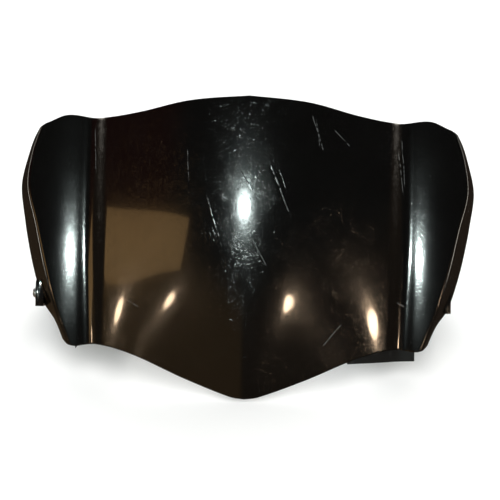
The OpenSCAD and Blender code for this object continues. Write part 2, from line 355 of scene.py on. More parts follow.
# How far past the half width the bend's dense columns run, at most, and as a part of the flange
BEND_PAST = 2.0
BEND_PART = 0.4


def skin_tree(material):
    tree, inputs = new_tree("skin_by_rule", {"Columns": 281, "Rows": 131})
    grid = add(tree, "GeometryNodeMeshGrid", Size_X=2.0, Size_Y=1.0,
               Vertices_X=inputs["Columns"], Vertices_Y=inputs["Rows"])
    across, row = grid_place(tree)
    up = row + 0.5
    share = across.math("ABSOLUTE")
    face = (share / FACE_SHARE).clamped()
    bend = ((share - FACE_SHARE) / BEND_SHARE).clamped()
    flange = ((share - FACE_SHARE - BEND_SHARE) / FLANGE_SHARE).clamped()
    past = (bend + flange) / 2
    low = through(LOWER, face) + past * past * CORNER
    high = through(UPPER, face) - past.math("POWER", 1.5) * (2 * CORNER)
    s = mix(low, high, up)
    width = through(HALF_WIDTH, s)
    growth = through(FLANGE, s)
    turn = (growth * BEND_PART).math("MINIMUM", BEND_PAST)
    u = face * (width - BEND_MARGIN) + bend * (turn + BEND_MARGIN) + flange * (growth - turn)
    depth = skin_depth(u, s)
    x = u * across.math("SIGN")
    y = depth * math.cos(LEAN) + s * math.sin(LEAN) - BOLT_PLANE
    z = s * math.cos(LEAN) - depth * math.sin(LEAN) - FACE_FOOT

    store = add(tree, "GeometryNodeStoreNamedAttribute", data_type="FLOAT_VECTOR", domain="POINT",
                Name="face_at", Value=vector(tree, x * MM, s * MM, 0.0))
    moved = add(tree, "GeometryNodeSetPosition", Position=vector(tree, x * MM, y * MM, z * MM))
    chain(tree, grid, store, moved, tree.nodes.new("GeometryNodeSetShadeSmooth"),
          tree.nodes.new("GeometryNodeRealizeInstances"),
          add(tree, "GeometryNodeSetMaterial", Material=material))
    return tree


# %% [markdown]
# ## Shader groups: the marks that several finishes share
#
# Wear, dust, grain and scratches are the same effects on different surfaces, so each is one node
# group with its own named inputs.  A group only puts out masks and heights; the shader that they
# feed stays in the material, where the finish is decided.

# %% Helpers for shader groups
def shader_group(name, inputs):
    """Shader group whose inputs are numbers or three-part vectors; returns it with its inputs."""
    tree = bpy.data.node_groups.new(name, "ShaderNodeTree")
    for label, value in inputs.items():
        kind = "NodeSocketVector" if isinstance(value, tuple) else "NodeSocketFloat"
        tree.interface.new_socket(label, in_out="INPUT", socket_type=kind).default_value = value
    entry = tree.nodes.new("NodeGroupInput")
    return tree, {s.name: Sum(tree, s) for s in entry.outputs if s.name}


def put_out(tree, **results):
    for label in results:
        tree.interface.new_socket(label, in_out="OUTPUT", socket_type="NodeSocketFloat")
    leave = tree.nodes.new("NodeGroupOutput")
    for label, value in results.items():
        tree.links.new(value.socket, leave.inputs[label])


def place_group(tree, group, **values):
    """One use of a group in a material; returns its node."""
    return add(tree, "ShaderNodeGroup", node_tree=group, **values)


def along(tree, operation, *parts):
    """Vector Math node; a length, distance or dot product comes out as a number."""
    return filled(add(tree, "ShaderNodeVectorMath", operation=operation), *parts)


def noise(tree, where, scale, detail=2.0):
    return out(add(tree, "ShaderNodeTexNoise", Vector=where, Scale=scale, Detail=detail))


# %% [markdown]
# ### Fine scratches
#
# Dusty cloths leave thousands of hair-fine scratches in every direction.  One layer is a stretched
# noise, cut off so that only its ridges are left; several layers at different angles make the web
# that lights up in rings around each reflection.

# %% Group: fine scratches
def make_fine_scratches():
    tree, given = shader_group("fine_scratches", {
        "Vector": (0.0, 0.0, 0.0), "Angle": 0.0, "Spacing": 0.002, "Length": 0.02, "Cut": 0.6})
    turned_to = add(tree, "ShaderNodeVectorRotate", rotation_type="Z_AXIS",
                    Vector=given["Vector"], Angle=given["Angle"])
    split = add(tree, "ShaderNodeSeparateXYZ", Vector=out(turned_to))
    where = vector(tree, out(split, "X") / given["Length"], out(split, "Y") / given["Spacing"],
                   given["Angle"] * 7.0)
    ridge = noise(tree, where, 1.0, detail=1.0)
    put_out(tree, Mask=((ridge - given["Cut"]) * 12.0).clamped())
    return tree


fine_scratches = make_fine_scratches()


# %% [markdown]
# ### Long scratches
#
# A few scratches are deep enough to see one by one.  Each is the distance from a straight segment,
# so the group takes two ends, a width and a wander that keeps the line from looking ruled.

# %% Group: one long scratch
def make_long_scratch():
    tree, given = shader_group("long_scratch", {
        "Vector": (0.0, 0.0, 0.0), "From": (0.0, 0.0, 0.0), "To": (0.1, 0.0, 0.0),
        "Width": 0.0005, "Wander": 0.001})
    sway = noise(tree, given["Vector"], 45.0, detail=1.0) - 0.5
    here = along(tree, "ADD", given["Vector"], vector(tree, sway * given["Wander"], 0.0, 0.0))
    reach = along(tree, "SUBTRACT", given["To"], given["From"])
    offset = along(tree, "SUBTRACT", here, given["From"])
    share = (along(tree, "DOT_PRODUCT", offset, reach)
             / along(tree, "DOT_PRODUCT", reach, reach)).clamped()
    foot = along(tree, "MULTIPLY", reach, vector(tree, share, share, share))
    away = along(tree, "DISTANCE", offset, foot) / given["Width"]
    taper = (share * (1 - share) * 12.0).clamped()
    skips = ((noise(tree, given["Vector"], 260.0, detail=0.0) - 0.3) * 4.0).clamped()
    put_out(tree, Mask=(1 - away).clamped() * taper * skips)
    return tree


long_scratch = make_long_scratch()


# %% [markdown]
# ### Dust, grain and edge wear
#
# Dust is a scatter of specks over a thin film.  Moulded grain is the fine pebbled texture that
# spark erosion leaves in the tool.  Edge wear follows the sharpest edges, broken up by noise.

# %% Groups: dust, grain and edge wear
def make_dust():
    tree, given = shader_group("dust", {"Vector": (0.0, 0.0, 0.0), "Spacing": 0.01, "Speck": 0.04,
                                        "Film": 0.1})
    where = along(tree, "DIVIDE", given["Vector"],
                  vector(tree, given["Spacing"], given["Spacing"], given["Spacing"]))
    cells = add(tree, "ShaderNodeTexVoronoi", Vector=where, Scale=1.0)
    chance = out(add(tree, "ShaderNodeSeparateXYZ", Vector=out(cells, "Color")), "X")
    size = given["Speck"] * chance * chance
    specks = ((size - out(cells, "Distance")) * 60.0).clamped()
    film = ((noise(tree, where, 0.4, detail=4.0) - 0.45) * 3.0).clamped() * given["Film"]
    put_out(tree, Mask=specks.math("MAXIMUM", film), Specks=specks)
    return tree


def make_grain():
    tree, given = shader_group("moulded_grain", {"Vector": (0.0, 0.0, 0.0), "Size": 0.001})
    where = along(tree, "DIVIDE", given["Vector"],
                  vector(tree, given["Size"], given["Size"], given["Size"]))
    pebbles = out(add(tree, "ShaderNodeTexVoronoi", feature="SMOOTH_F1", Vector=where, Scale=1.0,
                      Smoothness=0.6), "Distance")
    broad = noise(tree, where, 0.05, detail=3.0)
    fine = noise(tree, where, 1.6, detail=2.0)
    put_out(tree, Height=pebbles * 0.7 + fine * 0.3, Broad=broad)
    return tree


def make_edge_wear():
    tree, given = shader_group("edge_wear", {"Vector": (0.0, 0.0, 0.0), "Pointiness": 0.5,
                                             "Start": 0.53, "Amount": 1.0})
    edge = ((given["Pointiness"] - given["Start"]) * 25.0).clamped()
    patchy = ((noise(tree, given["Vector"], 420.0, detail=3.0) - 0.42) * 5.0).clamped()
    put_out(tree, Mask=edge * patchy * given["Amount"])
    return tree


dust = make_dust()
moulded_grain = make_grain()
edge_wear = make_edge_wear()
print("shader groups:", [g.name for g in bpy.data.node_groups if g.bl_idname == "ShaderNodeTree"])


# %% [markdown]
# ## Finish of the skin: smoked, scratched polycarbonate
#
# Polycarbonate this dark shows almost nothing of its own: its looks are reflections.  Two layers
# give them.  The clear coat is the polished surface and reflects lamps sharply.  The base under it
# is rougher and carries the scratches, so that a soft web of light surrounds each sharp reflection.

# %% Skin material
def new_material(name, **settings):
    """Principled material with plain values on its own sockets; returns it with its tree."""
    material = bpy.data.materials.new(name)
    material.use_nodes = True
    shader = material.node_tree.nodes["Principled BSDF"]
    for key, value in settings.items():
        shader.inputs[key.replace("_", " ")].default_value = value
    return material, material.node_tree, shader


def blend(tree, a, b, mask):
    """Colour that goes from a to b with the mask."""
    return filled(add(tree, "ShaderNodeMix", data_type="RGBA"), mask, a, b)


def feed(shader, **values):
    for key, value in values.items():
        plug(shader.id_data, shader.inputs[key.replace("_", " ")], value)


def bumped(tree, shader, height, distance):
    feed(shader, Normal=out(add(tree, "ShaderNodeBump", Distance=distance, Height=height)))


# %% Smoked gloss
# Ends of the long scratches on the face, and their widths, in millimetres: x, s, x, s, width
LONG_SCRATCHES = [
    (20, 236, 43, 180, 0.8), (4, 161, 20, 132, 0.7), (-41, 203, -27, 158, 0.6),
    (77, 54, 96, 77, 0.7), (152, 98, 161, 93, 0.9), (-8, 226, 12, 196, 0.5),
    (30, 228, 38, 205, 0.4), (62, 282, 74, 246, 0.7), (66, 278, 70, 250, 0.5),
    (154, 262, 158, 214, 0.6), (150, 250, 157, 206, 0.5), (-155, 268, -153, 222, 0.5),
    (84, 268, 100, 252, 0.6), (-60, 246, -58, 214, 0.5), (-118, 96, -104, 88, 0.6)]
WEB_LAYERS = 7


def smoked_gloss():
    material, tree, shader = new_material("smoked_gloss", IOR=1.586, Coat_Weight=1.0,
                                          Coat_Roughness=0.05, Coat_IOR=1.586)
    face_at = out(add(tree, "ShaderNodeAttribute", attribute_name="face_at"), "Vector")
    swirl = add(tree, "ShaderNodeTexNoise", Vector=face_at, Scale=14.0, Detail=1.0)
    bent = along(tree, "ADD", face_at, along(
        tree, "MULTIPLY", out(swirl, "Color"), (0.03, 0.03, 0.0)))
    web = None
    for k in range(WEB_LAYERS):
        turn = math.pi * (k + 0.3) / WEB_LAYERS
        layer = place_group(tree, fine_scratches, Vector=bent, Angle=turn,
                            Spacing=0.0011 + 0.0003 * (k % 3), Length=0.028 - 0.002 * k, Cut=0.54)
        mask = out(layer, "Mask")
        web = mask if web is None else web.math("MAXIMUM", mask)
    deep = None
    for x0, s0, x1, s1, width in LONG_SCRATCHES:
        line = place_group(tree, long_scratch, Vector=face_at, From=(x0 * MM, s0 * MM, 0),
                           To=(x1 * MM, s1 * MM, 0), Width=width * MM, Wander=0.002)
        mask = out(line, "Mask")
        deep = mask if deep is None else deep.math("MAXIMUM", mask)
    # Only the outside is scratched, and the wings are rubbed less than the lobe
    normal = out(tree.nodes.new("ShaderNodeNewGeometry"), "True Normal")
    outside = along(tree, "DOT_PRODUCT", normal, tuple(FACE_OUT))
    deep = deep * (outside * 8.0).clamped()
    specks = place_group(tree, dust, Vector=face_at, Spacing=0.008, Speck=0.045, Film=0.25)
    smear = noise(tree, face_at, 24.0, detail=3.0)
    black = (0.0007, 0.0006, 0.0005, 1)
    pale = (0.16, 0.17, 0.17, 1)
    marked = blend(tree, black, pale, deep * 0.5)
    dusty = blend(tree, marked, pale, out(specks, "Specks") * 0.6 + out(specks, "Mask") * 0.012)
    feed(shader, Base_Color=dusty,
         Roughness=(smear * 0.06 + 0.10 + deep * 0.15).clamped(),
         Coat_Weight=(1 - deep * 0.6 - out(specks, "Specks")).clamped())
    across = out(add(tree, "ShaderNodeSeparateXYZ", Vector=face_at), "X").math("ABSOLUTE")
    wing = ease(0.145, 0.17, across)
    bumped(tree, shader, web * (1 - wing * 0.7) + deep * 3.0, 0.000028)
    return material


smoked = smoked_gloss()

# %% [markdown]
# ## Making the skin solid
#
# The baked sheet gets its wall from Solidify and a small rounding on its cut edges from Bevel.
# The two ears are moulded in one with it, so their meshes join the skin's in a single piece.  Each
# ear is itself a true union of a plate and a joggle, with its hole cut by a boolean.

# %% Skin, wall and rounded rim
TURN_STEPS = 48


def value_at(knots, value):
    """The same smooth curve as `through`, worked out here for one value."""
    last = len(knots) - 1
    i = max(k for k in range(last) if value >= knots[k][0] or k == 0)
    (x0, y0), (x1, y1) = knots[i], knots[i + 1]
    before, after = knots[max(i - 1, 0)], knots[min(i + 2, last)]
    h = x1 - x0
    t = (value - x0) / h
    a = (y1 - before[1]) / (x1 - before[0]) * h
    b = (after[1] - y0) / (after[0] - x0) * h
    rise = y1 - y0
    return y0 + ((t * (a + b - 2 * rise) + (3 * rise - 2 * a - b)) * t + a) * t


def add_bevel(piece, width, angle=40, segments=2):
    rim = piece.modifiers.new("soft_edges", "BEVEL")
    rim.width = width * MM
    rim.segments = segments
    rim.limit_method = "ANGLE"
    rim.angle_limit = math.radians(angle)
    return rim


sheet = baked("skin_sheet", skin_tree(smoked))
wall = sheet.modifiers.new("wall", "SOLIDIFY")
wall.thickness = SKIN * MM
wall.offset = -1.0
wall.use_even_offset = True
wall.use_rim = True
add_bevel(sheet, 0.9, angle=50, segments=3)
skin = evaluated(sheet, "screen_skin")
print("skin", len(skin.data.vertices), "vertices")

# %% Ears on the return flanges
SIDES = {"left": -1, "right": 1}
EAR_S = 100.0
EAR_R = 13.0
EAR_STEP = {"left": 5.0, "right": -3.0}
EAR_HOLE = 6.0
EAR_SINK = 1.0
EAR_PLATE = 20.0
flange_out = value_at(HALF_WIDTH, EAR_S) + value_at(FLANGE, EAR_S) - EAR_SINK
ear_box = {side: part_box("ear_grommet_" + side) for side in SIDES}
ear_centre = {side: sum(ear_box[side], Vector()) / 2 for side in SIDES}
ear_depth = ((ear_centre["left"].y / MM + BOLT_PLANE) * math.cos(LEAN)
             - (ear_centre["left"].z / MM + FACE_FOOT) * math.sin(LEAN))
ear_root = ear_depth - EAR_PLATE
joggle_from = ear_root + 1
joggle_to = ear_root + 6
print("ears reach", round(ear_depth + EAR_R), "mm back and", round(flange_out), "mm out")


# %% Solids for the ears
def prism(outline, x0, x1):
    """Solid between two x planes, from an outline of (depth, s) points of the face."""
    shape = bmesh.new()
    ends = [[shape.verts.new(placed(x, d, s)) for d, s in outline] for x in (x0, x1)]
    shape.faces.new(ends[0])
    shape.faces.new(ends[1])
    for i in range(len(outline)):
        j = (i + 1) % len(outline)
        shape.faces.new((ends[0][i], ends[0][j], ends[1][j], ends[1][i]))
    bmesh.ops.recalc_face_normals(shape, faces=shape.faces)
    return mesh_from(shape, "prism")


def arc(centre, radius, start, end, steps):
    """Points of a round stretch from one angle to another, in degrees."""
    turns = [math.radians(start + (end - start) * k / steps) for k in range(steps + 1)]
    return [(centre[0] + radius * math.cos(a), centre[1] + radius * math.sin(a)) for a in turns]


def combine(target, tool, operation):
    """Exact boolean of two closed objects; the tool is used up."""
    cut = target.modifiers.new(operation.lower(), "BOOLEAN")
    cut.operation = operation
    cut.solver = "EXACT"
    cut.object = tool
    name = target.name
    target.name = name + "_before"
    result = evaluated(target, name)
    bpy.data.objects.remove(tool)
    return result


def join_meshes(target, *others):
    """Adds the other objects' meshes to the target's own, attributes included."""
    with bpy.context.temp_override(active_object=target, object=target,
                                   selected_editable_objects=[target, *others]):
        bpy.ops.object.join()


# %% Ears joined to the skin
BORE_PAST = 5.0
bolt_at = (ear_depth, EAR_S)
plate_plan = [(ear_root, EAR_S - EAR_R), *arc(bolt_at, EAR_R, -90, 90, TURN_STEPS // 2),
              (ear_root, EAR_S + EAR_R)]
joggle_plan = [(joggle_from, EAR_S - EAR_R), (joggle_to, EAR_S - EAR_R),
               (joggle_to, EAR_S + EAR_R), (joggle_from, EAR_S + EAR_R)]
bore_plan = arc(bolt_at, EAR_HOLE, 0, 360 - 360 / TURN_STEPS, TURN_STEPS - 1)
for side, sign in SIDES.items():
    outer = flange_out + EAR_STEP[side]
    ear = make_object("ear", prism(plate_plan, sign * (outer - SKIN), sign * outer))
    joggle_top = max(flange_out, outer)
    joggle = make_object("joggle", prism(joggle_plan, sign * (flange_out - SKIN),
                                         sign * joggle_top))
    ear = combine(ear, joggle, "UNION")
    bore = make_object("bore", prism(bore_plan, sign * (outer - SKIN - BORE_PAST),
                                     sign * (outer + BORE_PAST)))
    ear = combine(ear, bore, "DIFFERENCE")
    add_bevel(ear, 0.5)
    ear = evaluated(ear, "ear_" + side)
    ear.data.materials.append(smoked)
    # The ear lies square to the face, so its dust and smears are laid out by depth and height
    spot = ear.data.attributes.new("face_at", "FLOAT_VECTOR", "POINT")
    for i, vertex in enumerate(ear.data.vertices):
        spot.data[i].vector = (vertex.co.y, vertex.co.z, 0)
    join_meshes(skin, ear)
shade_smooth(skin.data, 38)


def join_frame(piece, slot, *nodes):
    """Parents a finished piece to the root body and hides the CAD nodes that it stands for.
    The slot, which names its finish, is not used.
    """
    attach(piece, "root")
    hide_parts(*nodes)
    print(piece.name, len(piece.data.vertices), "vertices")


join_frame(skin, "smoked_screen", "screen_shell")

# %% [markdown]
# ## Finishes of the parts behind the skin
#
# Glass-filled nylon brackets are dull and pebbled, with greyer scuffs.  Rubber is darker,
# softer and collects dust.  Foam tape is open-celled, with painted shade in its pores.  Zinc
# plate, spring steel and the alloy collars are metals with fine turning or rolling marks, so
# each gets its own direction of grain.

# %% Materials of brackets, rubber and foam
def object_at(tree):
    return out(tree.nodes.new("ShaderNodeTexCoord"), "Object")


def dust_mask(tree, here, **values):
    return out(place_group(tree, dust, Vector=here, **values), "Mask")


def bracket_nylon():
    material, tree, shader = new_material("bracket_nylon", IOR=1.5, Specular_IOR_Level=0.25)
    here = object_at(tree)
    grain = place_group(tree, moulded_grain, Vector=here, Size=0.0011)
    worn = ((noise(tree, here, 55.0, detail=5.0) - 0.56) * 6.0).clamped()
    settled = dust_mask(tree, here, Spacing=0.006, Speck=0.12, Film=0.15)
    tone = blend(tree, (0.004, 0.004, 0.004, 1), (0.0075, 0.0074, 0.0072, 1), out(grain, "Broad"))
    rubbed = blend(tree, tone, (0.02, 0.02, 0.02, 1), worn)
    feed(shader, Base_Color=blend(tree, rubbed, (0.09, 0.085, 0.075, 1), settled * 0.12),
         Roughness=(out(grain, "Broad") * 0.25 + 0.42 - worn * 0.1).clamped())
    bumped(tree, shader, out(grain, "Height"), 0.00012)
    return material


def black_rubber():
    material, tree, shader = new_material("black_rubber", IOR=1.52)
    here = object_at(tree)
    grain = place_group(tree, moulded_grain, Vector=here, Size=0.0006)
    settled = dust_mask(tree, here, Spacing=0.004, Speck=0.2, Film=0.7)
    bloom = ((noise(tree, here, 90.0, detail=4.0) - 0.4) * 2.0).clamped()
    tone = blend(tree, (0.009, 0.009, 0.009, 1), (0.022, 0.021, 0.020, 1), bloom)
    feed(shader, Base_Color=blend(tree, tone, (0.12, 0.11, 0.10, 1), settled * 0.3),
         Roughness=(bloom * 0.2 + 0.55 + settled * 0.2).clamped())
    bumped(tree, shader, out(grain, "Height"), 0.00005)
    return material


def foam_tape():
    material, tree, shader = new_material("foam_tape", IOR=1.45)
    here = object_at(tree)
    cells = add(tree, "ShaderNodeTexVoronoi", Vector=here, Scale=900.0)
    pore_pits_and_pit_shade = (out(cells, "Distance") * 1.6).clamped()
    patchy = noise(tree, here, 60.0, detail=3.0)
    # The foam's dark grey is made darker still down in each pore: this is painted shade in the
    # pits, used as colour and as bump height.
    tone = blend(tree, (0.012, 0.012, 0.013, 1), (0.035, 0.035, 0.036, 1), pore_pits_and_pit_shade)
    feed(shader, Base_Color=blend(tree, tone, (0.05, 0.048, 0.045, 1), patchy * 0.4),
         Roughness=(patchy * 0.15 + 0.82).clamped())
    bumped(tree, shader, pore_pits_and_pit_shade, 0.0003)
    return material


# %% [markdown]
# ### Metals
#
# A metal is told apart by the colour of its shine, its tarnish and the direction of its marks.  One
# function makes all three, so that only these values differ between them.

# %% Materials of the metal parts
def metal(name, colour, tarnish, base_roughness, stretch):
    """Bare or plated metal whose marks run along the axes with the small stretch values."""
    material, tree, shader = new_material(name, Metallic=1.0)
    here = object_at(tree)
    marks = noise(tree, along(tree, "MULTIPLY", here, stretch), 1.0, detail=3.0)
    cloud = noise(tree, here, 130.0, detail=4.0)
    pointiness = out(tree.nodes.new("ShaderNodeNewGeometry"), "Pointiness")
    worn = out(place_group(tree, edge_wear, Vector=here, Pointiness=pointiness, Start=0.55,
                           Amount=0.8), "Mask")
    settled = dust_mask(tree, here, Spacing=0.003, Speck=0.15, Film=0.3)
    stained = blend(tree, colour, tarnish, ((cloud - 0.42) * 3.0).clamped())
    bright = blend(tree, stained, tuple(min(c * 1.25, 1) for c in colour[:3]) + (1,), worn)
    feed(shader, Base_Color=blend(tree, bright, (0.2, 0.18, 0.15, 1), settled * 0.4),
         Roughness=(marks * 0.25 + cloud * 0.15 + base_roughness - 0.2).clamped())
    bumped(tree, shader, marks, 0.00003)
    return material


nylon = bracket_nylon()
rubber = black_rubber()
foam = foam_tape()
zinc = metal("zinc_plate", (0.62, 0.63, 0.65, 1), (0.40, 0.37, 0.30, 1), 0.34, (3000, 500, 500))
spring = metal("spring_steel", (0.16, 0.16, 0.17, 1), (0.09, 0.07, 0.05, 1), 0.40, (300, 3000, 300))
alloy = metal("collar_alloy", (0.78, 0.79, 0.81, 1), (0.55, 0.55, 0.54, 1), 0.36, (300, 4000, 300))
print("materials:", [m.name for m in bpy.data.materials if m.use_nodes])

# %% [markdown]
# ## Moulded pieces with softened edges
#
# The brackets, the peg, the tapes and the clip nuts already have the right shape in CAD, but a
# moulding has no knife edges.  A copy of the CAD mesh is merged, its flat faces are joined up, and
# a Bevel rounds its edges by the radius that such a piece has.

# %% Softened copies
SOFT_ANGLE = 32


def softened(name, node, material, width, segments=2):
    """Copy of a CAD node's mesh, cleaned, with its edges rounded by the width in millimetres."""
    shape = bmesh.new()
    shape.from_mesh(NODES[node].data)
    bmesh.ops.remove_doubles(shape, verts=shape.verts, dist=2e-6)
    bmesh.ops.dissolve_limit(shape, angle_limit=math.radians(0.6), verts=shape.verts,
                             edges=shape.edges)
    mesh = mesh_from(shape, name)
    mesh.materials.append(material)
    piece = make_object(name, mesh)
    shade_smooth(mesh, SOFT_ANGLE)
    rim = add_bevel(piece, width, angle=SOFT_ANGLE, segments=segments)
    rim.harden_normals = True
    return piece


for side in SIDES:
    join_frame(softened("moulded_bracket_" + side, "bracket_" + side, nylon, 0.45),
               "bracket_plastic", "bracket_" + side)
    join_frame(softened("tape_strip_" + side, "bond_tape_" + side, foam, 0.2),
               "foam_tape", "bond_tape_" + side)
    join_frame(softened("seal_strip_" + side, "edge_seal_" + side, rubber, 0.6, segments=3),
               "black_rubber", "edge_seal_" + side)
    join_frame(softened("folded_clip_" + side, "ear_clip_nut_" + side, spring, 0.12),
               "spring_steel", "ear_clip_nut_" + side)
join_frame(softened("moulded_peg", "centre_peg", nylon, 0.4), "bracket_plastic", "centre_peg")
join_frame(softened("peg_tape_strip", "peg_tape", foam, 0.2), "foam_tape", "peg_tape")

# %% [markdown]
# ## Turned pieces
#
# Grommets, collars, washers and screw heads are round, so each is an outline turned about an axis.
# The outline's corners are rounded first, which gives every turned edge its small radius at once.

# %% Turning
GRIP = 1.5
WALL = 3.0
PAD_WALL = 4.0
TURNED_ANGLE = 35
OUTWARD = {side: Matrix.Rotation(sign * math.pi / 2, 4, "Y") for side, sign in SIDES.items()}
FORWARD = Matrix.Rotation(math.pi / 2, 4, "X")


def rounded_outline(points, radius, steps=3):
    """Closed outline with its corners rounded, but those on the axis left alone."""
    result = []
    for i, corner in enumerate(points):
        here = Vector(corner)
        if corner[0] == 0:
            result.append(here)
            continue
        before, after = Vector(points[i - 1]) - here, Vector(points[(i + 1) % len(points)]) - here
        cut = min(radius, before.length * 0.45, after.length * 0.45)
        start, end = here + before.normalized() * cut, here + after.normalized() * cut
        for k in range(steps + 1):
            t = k / steps
            result.append(start * (1 - t)**2 + here * 2 * t * (1 - t) + end * t**2)
    return result


# %% Turning an outline
def turned(outline, place, material, name, socket_below=None):
    """Turns an outline of (radius, height) in millimetres.  Inside the radius socket_below, the
    rings follow a hexagon instead of a circle."""
    closed = outline[0][0] > 0
    shape = bmesh.new()
    rings = []
    for k in range(TURN_STEPS):
        angle = math.tau * k / TURN_STEPS
        ring = []
        for radius, height in outline:
            if socket_below and 0 < radius <= socket_below:
                radius *= math.cos(math.pi / 6) / math.cos((angle % (math.pi / 3)) - math.pi / 6)
            point = Vector((radius * math.cos(angle), radius * math.sin(angle), height)) * MM
            ring.append(shape.verts.new(place @ point))
        rings.append(ring)
    count = len(outline)
    for a, b in zip(rings, rings[1:] + rings[:1]):
        for i in range(count if closed else count - 1):
            j = (i + 1) % count
            shape.faces.new((a[i], a[j], b[j], b[i]))
    bmesh.ops.remove_doubles(shape, verts=shape.verts, dist=1e-7)
    bmesh.ops.recalc_face_normals(shape, faces=shape.faces)
    mesh = mesh_from(shape, name)
    mesh.materials.append(material)
    shade_smooth(mesh, TURNED_ANGLE)
    return make_object(name, mesh)


# %% Outlines of grommets and rings
LIP = 2.5
LIP_TAPER = 0.4


def grommet_outline(plate, hole, bore):
    """Two soft flanges with a groove for the plate; each flange tapers towards its face."""
    lip = hole + LIP
    face = lip - LIP_TAPER
    return rounded_outline([
        (bore, -GRIP), (face, -GRIP), (lip, -GRIP * 0.5), (lip, 0), (hole, 0), (hole, plate),
        (lip, plate), (lip, plate + GRIP * 0.5), (face, plate + GRIP), (bore, plate + GRIP)], 0.45)


def ring_outline(low, high, outer, inner, radius=0.2):
    return rounded_outline([(inner, low), (outer, low), (outer, high), (inner, high)], radius)


# %% [markdown]
# ## Setting out the four frame fixings
#
# Four rubber grommets and four collars sit at the corners of one rectangle.  A small geometry tree
# does the setting out: the corners of a two-by-two grid carry one instance each of a turned piece,
# so the bolt spacing is a pair of named inputs and nothing is placed by hand.

# %% Setting-out tree
def set_out_tree(material, name):
    corners = [sum(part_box(f"frame_collar_{s}_{l}"), Vector()) / 2
               for s in SIDES for l in ("lower", "upper")]
    across = max(c.x for c in corners) - min(c.x for c in corners)
    rise = max(c.z for c in corners) - min(c.z for c in corners)
    tree, inputs = new_tree(name, {"Part": None, "Across": across, "Rise": rise})
    grid = add(tree, "GeometryNodeMeshGrid", Size_X=inputs["Across"], Size_Y=inputs["Rise"],
               Vertices_X=2, Vertices_Y=2)
    stood = add(tree, "GeometryNodeTransform", Rotation=(math.pi / 2, 0, 0))
    part = add(tree, "GeometryNodeObjectInfo", Object=inputs["Part"])
    spread = tree.nodes.new("GeometryNodeInstanceOnPoints")
    tree.links.new(part.outputs["Geometry"], spread.inputs["Instance"])
    chain(tree, grid, stood, spread, tree.nodes.new("GeometryNodeRealizeInstances"),
          add(tree, "GeometryNodeSetMaterial", Material=material))
    return tree


def set_out(name, outline, material, slot, kind):
    master = turned(outline, FORWARD, material, name + "_master")
    tree = set_out_tree(material, name + "_tree")
    piece = baked(name, tree, {"Part": master})
    bpy.data.objects.remove(master)
    join_frame(piece, slot, *(f"{kind}_{s}_{l}" for s in SIDES for l in ("lower", "upper")))


# %% Four grommets and four collars
FRAME_BORE = 3.25
FRAME_HOLE = 6.5
COLLAR_WALL = 1.0
frame_collar_r = FRAME_BORE + COLLAR_WALL
frame_lips = grommet_outline(PAD_WALL, FRAME_HOLE, frame_collar_r)
frame_ring = ring_outline(0, PAD_WALL + 2 * GRIP, frame_collar_r, FRAME_BORE)
set_out("frame_grommets", [(r, h + GRIP) for r, h in frame_lips], rubber, "black_rubber",
        "frame_grommet")
set_out("frame_collars", frame_ring, alloy, "collar_alloy", "frame_collar")

# %% [markdown]
# ## Ear fixings
#
# From the outside in, each ear has a screw, a washer, and a collar inside a rubber grommet.  The
# screw's thread is a rule again: a tube whose radius dips with the height plus the turn, so one
# helical groove runs down it.  The tube's seam is merged and its end is closed.

# %% Thread by rule
def thread_tree(material):
    tree, inputs = new_tree("thread_by_rule", {
        "Radius": 0.0025, "Length": 0.016, "Pitch": 0.0008, "Depth": 0.00045,
        "Plain": 0.003, "Point": 0.001, "Sides": 36, "Rows": 181})
    grid = add(tree, "GeometryNodeMeshGrid", Size_X=1.0, Size_Y=1.0,
               Vertices_X=inputs["Sides"] + 1, Vertices_Y=inputs["Rows"])
    column, row = grid_place(tree)
    turn = column + 0.5
    down = (row + 0.5) * inputs["Length"]
    groove = ((down / inputs["Pitch"] + turn).math("FRACT") * 2 - 1).math("ABSOLUTE")
    cut_in = ease(0.0, inputs["Plain"], down)
    point = ((inputs["Length"] - down) / inputs["Point"]).clamped()
    radius = inputs["Radius"] * (point * 0.25 + 0.75) - groove * cut_in * inputs["Depth"]
    angle = turn * math.tau
    moved = add(tree, "GeometryNodeSetPosition", Position=vector(
        tree, radius * angle.math("COSINE"), radius * angle.math("SINE"), down * -1))
    merged = add(tree, "GeometryNodeMergeByDistance", Distance=1e-6)
    chain(tree, grid, moved, merged, tree.nodes.new("GeometryNodeSetShadeSmooth"),
          tree.nodes.new("GeometryNodeRealizeInstances"),
          add(tree, "GeometryNodeSetMaterial", Material=material))
    return tree


def joined(name, *pieces):
    """One closed mesh from several that are already in their places."""
    shape = bmesh.new()
    for piece in pieces:
        shape.from_mesh(piece.data)
    loose = [e for e in shape.edges if e.is_boundary]
    bmesh.ops.holes_fill(shape, edges=loose)
    bmesh.ops.recalc_face_normals(shape, faces=shape.faces)
    mesh = mesh_from(shape, name)
    mesh.materials.append(pieces[0].data.materials[0])
    shade_smooth(mesh, TURNED_ANGLE)
    for piece in pieces:
        bpy.data.objects.remove(piece)
    return make_object(name, mesh)


# %% Washer, collar, grommet and screw of each ear
EAR_THREAD = 5.0
EAR_BORE = EAR_THREAD / 2 + 0.2
EAR_COLLAR_R = EAR_BORE + COLLAR_WALL
WASHER_H = 1.0
WASHER_R = EAR_HOLE + 1.5
SCREW_PAST = 9.0
HEAD_R = EAR_THREAD * 0.95
HEAD_H = 2.8
SOCKET_R = EAR_THREAD * 0.34
SOCKET_DEEP = 1.8
SOCKET_EDGE = 0.16
shank_length = SKIN + 2 * GRIP + WASHER_H + WALL + SCREW_PAST
dome = rounded_outline([
    (0, 0), (HEAD_R, 0), (HEAD_R, HEAD_H * 0.45), (HEAD_R * 0.82, HEAD_H * 0.85),
    (HEAD_R * 0.5, HEAD_H), (SOCKET_R, HEAD_H), (SOCKET_R, HEAD_H - SOCKET_DEEP),
    (0, HEAD_H - SOCKET_DEEP)], 0.15)
ear_lips = [(r, h - SKIN) for r, h in grommet_outline(SKIN, EAR_HOLE, EAR_COLLAR_R)]
